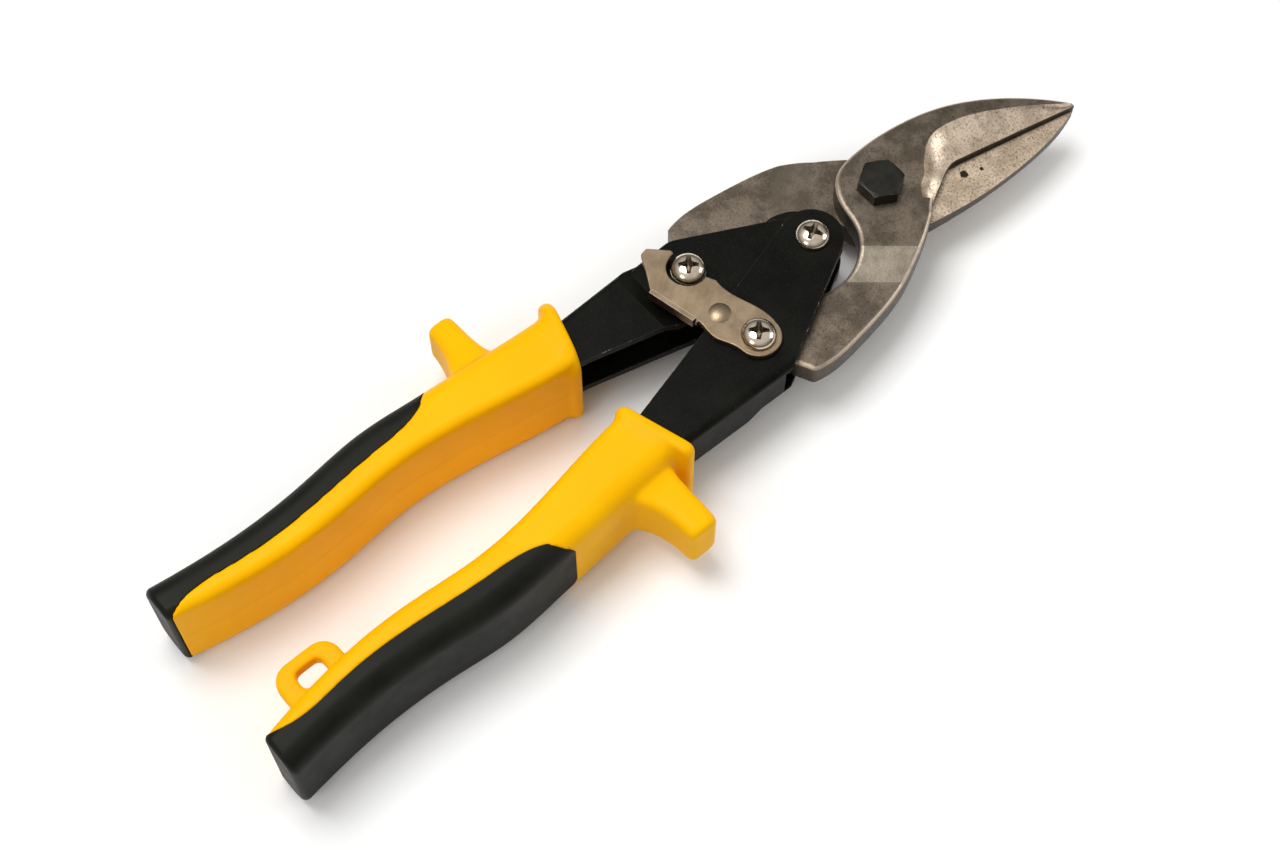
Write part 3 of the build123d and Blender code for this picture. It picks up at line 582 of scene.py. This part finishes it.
# One arm of the driver's cross; its tip's half width and its inner corner are in its half widths
RECESS_REACH = 2.55 * MM
RECESS_HALF_WIDTH = 0.62 * MM
RECESS_TIP = 0.72
RECESS_CORNER = ((2.0, 1.0), (1.25, 1.25), (1.0, 2.0))

# The cross's size at each height from the head's crown
RECESS_LEVELS = ((1.25, 0.5 * MM), (1.0, -0.25 * MM), (0.34, -2.0 * MM))

# Painted shade for the inside of the screw recesses
RECESS_PAINTED_SHADE = recess_shadow("recess_painted_shade")


def made_piece(name, shape):
    """Turn a finished bmesh into a new object."""
    bmesh.ops.recalc_face_normals(shape, faces=shape.faces)
    mesh = bpy.data.meshes.new(name)
    shape.to_mesh(mesh)
    shape.free()
    return add_piece(name, mesh)


def turned(name, profile):
    """A piece turned about Z from a profile of (radius, height) that starts and ends on the axis."""
    shape = bmesh.new()
    rings = []
    for radius, height in profile:
        if radius == 0:
            rings.append([shape.verts.new((0, 0, height))])
            continue
        turns = [2 * math.pi * k / TURNED_SEGMENTS for k in range(TURNED_SEGMENTS)]
        rings.append([shape.verts.new((radius * math.cos(a), radius * math.sin(a), height))
                      for a in turns])
    for above, below in zip(rings, rings[1:]):
        for k in range(TURNED_SEGMENTS):
            corners = [above[k % len(above)], below[k % len(below)],
                       below[(k + 1) % len(below)], above[(k + 1) % len(above)]]
            shape.faces.new(list(dict.fromkeys(corners)))
    return made_piece(name, shape)


def recess_cutter(top):
    """A tapered cross with rounded inner corners, from just above the head down to a blunt point."""
    arm = [(RECESS_REACH, side * RECESS_TIP * RECESS_HALF_WIDTH) for side in (-1, 1)]
    arm += [(x * RECESS_HALF_WIDTH, y * RECESS_HALF_WIDTH) for x, y in RECESS_CORNER]
    outline = []
    for quarter in range(4):
        turn = math.radians(90 * quarter)
        outline += [(x * math.cos(turn) - y * math.sin(turn), x * math.sin(turn) + y * math.cos(turn))
                    for x, y in arm]
    shape = bmesh.new()
    rings = [[shape.verts.new((x * scale, y * scale, top + rise)) for x, y in outline]
             for scale, rise in RECESS_LEVELS]
    shape.faces.new(rings[0])
    shape.faces.new(rings[-1][::-1])
    count = len(outline)
    for above, below in zip(rings, rings[1:]):
        for k in range(count):
            after = (k + 1) % count
            shape.faces.new([above[k], below[k], below[after], above[after]])
    return made_piece("recess", shape)


def pan_screw(node, body, turn):
    """A domed cross-recessed screw in place of its plain CAD node."""
    low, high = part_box(node)
    seat = high.z - HEAD_HEIGHT
    profile = [(r * HEAD_R, seat + h * HEAD_HEIGHT) for r, h in HEAD_PROFILE]
    profile += [(SHANK_R, seat), (SHANK_R, low.z + SHANK_CHAMFER),
                (SHANK_R - SHANK_CHAMFER, low.z), (0, low.z)]
    piece = turned(node + "_turned", profile)
    cutter = recess_cutter(high.z)
    for made in (piece, cutter):
        made.data.materials.append(SLOT_MATERIALS["nickel_screw"])
        made.data.materials.append(RECESS_PAINTED_SHADE)
    # The recess faces take the painted shade
    for face in cutter.data.polygons:
        face.material_index = 1
    cut = piece.modifiers.new("recess", "BOOLEAN")
    cut.object = cutter
    cut.operation = "DIFFERENCE"
    cut.solver = "EXACT"
    apply_modifiers(piece)
    bpy.data.objects.remove(cutter)
    piece.data.shade_smooth()
    piece.data.set_sharp_from_angle(angle=SHARP_ANGLE)
    piece.rotation_euler.z = math.radians(turn)
    middle = (low + high) / 2
    piece.location = (middle.x, middle.y, 0)
    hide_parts(node)
    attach(piece, body)


pan_screw("centre_pivot_screw", "right_handle", 25)
pan_screw("latch_pivot_screw", "right_handle", 47)
pan_screw("catch_screw", "left_handle", 49)


# ---------------------------------------------------------------- return spring
WIRE_R = 0.75 * MM
COIL_R = 5.3 * MM
COIL_PITCH = 1.65 * MM
COIL_TURNS = 2.5
COIL_STEPS_PER_TURN = 24

# The left leg's corner and end, from the pivot; the right leg mirrors them
LEG_REACH = [(-33.7 * MM, 3.2 * MM), (-50.5 * MM, 18.0 * MM)]


def spring_line():
    """The wire's centre line: right leg, coil up round the pivot, left leg."""
    steps = int(COIL_TURNS * COIL_STEPS_PER_TURN)
    low = -COIL_PITCH * COIL_TURNS / 2
    points = [(x, -y, low) for x, y in reversed(LEG_REACH)]
    for step in range(steps + 1):
        share = step / steps
        angle = math.radians(-90 + 360 * COIL_TURNS * share)
        points.append((COIL_R * math.cos(angle), COIL_R * math.sin(angle), low * (1 - 2 * share)))
    points += [(x, y, -low) for x, y in LEG_REACH]
    return [HANDLE_PIVOT + Vector(p) for p in points]


def tube(name, points, radius):
    """A round wire along points, as a mesh."""
    curve = bpy.data.curves.new(name, "CURVE")
    curve.dimensions = "3D"
    curve.bevel_depth = radius
    curve.bevel_resolution = 4
    curve.use_fill_caps = True
    line = curve.splines.new("NURBS")
    line.points.add(len(points) - 1)
    for point, place in zip(line.points, points):
        point.co = (*place, 1)
    line.order_u = 3
    line.use_endpoint_u = True
    line.resolution_u = 6
    drawn = bpy.data.objects.new(name, curve)
    mesh = bpy.data.meshes.new_from_object(drawn)
    mesh.shade_smooth()
    return add_piece(name, mesh)


spring = tube("return_spring_wire", spring_line(), WIRE_R)
spring.data.materials.append(SLOT_MATERIALS["spring_steel"])
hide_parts("return_spring")
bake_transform(spring)


# ---------------------------------------------------------------- floor, light and camera
FLOOR_SIZE = 6
FLOOR_DROP = 0.05 * MM
LIGHT_TARGET = Vector((0, 0, 0.01))

# The room's brightness by direction: dim at the horizon's height, bright overhead
ROOM_RAMP = {"From Min": 0.05, "From Max": 0.85, "To Min": 0.08, "To Max": 0.64}
ROOM_TINT = (1.0, 0.99, 0.965, 1)

SENSOR_MM = 36
LENS_MM = 60.080625
ELEVATION = math.radians(63.10)
AZIMUTH = math.radians(40.742)
CAMERA_DISTANCE = 490.94 * MM
CAMERA_TARGET = BOLT + Vector((-83.48, -8.593, 0)) * MM


def pale_floor():
    """A plain pale table top."""
    bpy.ops.mesh.primitive_plane_add(size=FLOOR_SIZE, location=(0, 0, -FLOOR_DROP))
    floor = bpy.context.object
    floor.name = "floor"
    s = Shader("pale_floor")
    cloud = s.noise(0.4, 2)
    color = s.mix(s.ramp(cloud, 0.3, 0.7), (0.90, 0.90, 0.895), (0.92, 0.92, 0.915))
    floor.data.materials.append(s.finish(color, 0.9))


def softbox(name, place, size, power):
    """A square soft light aimed at the tool."""
    light = bpy.data.lights.new(name, "AREA")
    light.shape = "SQUARE"
    light.size = size
    light.energy = power
    lamp = bpy.data.objects.new(name, light)
    lamp.location = place
    lamp.rotation_mode = "QUATERNION"
    lamp.rotation_quaternion = (LIGHT_TARGET - Vector(place)).to_track_quat("-Z", "Y")
    bpy.context.scene.collection.objects.link(lamp)


def studio():
    """A room bright overhead and dim low down, a large light above and two smaller ones."""
    world = bpy.data.worlds.new("studio")
    bpy.context.scene.world = world
    world.use_nodes = True
    tree = world.node_tree
    split = tree.nodes.new("ShaderNodeSeparateXYZ")
    tree.links.new(tree.nodes.new("ShaderNodeTexCoord").outputs["Generated"], split.inputs["Vector"])
    rise = tree.nodes.new("ShaderNodeMapRange")
    rise.interpolation_type = "SMOOTHSTEP"
    for name, value in ROOM_RAMP.items():
        rise.inputs[name].default_value = value
    tree.links.new(split.outputs["Z"], rise.inputs["Value"])
    tree.nodes["Background"].inputs["Color"].default_value = ROOM_TINT
    tree.links.new(rise.outputs["Result"], tree.nodes["Background"].inputs["Strength"])
    softbox("key", place=(-0.1, 0.30, 1.0), size=0.5, power=7.0)
    softbox("side", place=(0.75, -0.45, 0.45), size=0.35, power=1.8)
    softbox("back", place=(-0.8, -0.1, 0.6), size=0.35, power=1.3)


def camera():
    """The camera: above the grips, looking down towards the blades."""
    data = bpy.data.cameras.new("camera")
    data.sensor_width = SENSOR_MM
    data.lens = LENS_MM
    data.clip_start = 0.01
    back = Vector((-math.cos(ELEVATION) * math.sin(AZIMUTH),
                   -math.cos(ELEVATION) * math.cos(AZIMUTH), math.sin(ELEVATION)))
    made = bpy.data.objects.new("camera", data)
    made.location = CAMERA_TARGET + back * CAMERA_DISTANCE
    made.rotation_mode = "QUATERNION"
    made.rotation_quaternion = (-back).to_track_quat("-Z", "Y")
    bpy.context.scene.collection.objects.link(made)
    bpy.context.scene.camera = made


pale_floor()
studio()
camera()
bpy.context.scene.view_settings.view_transform = "Standard"
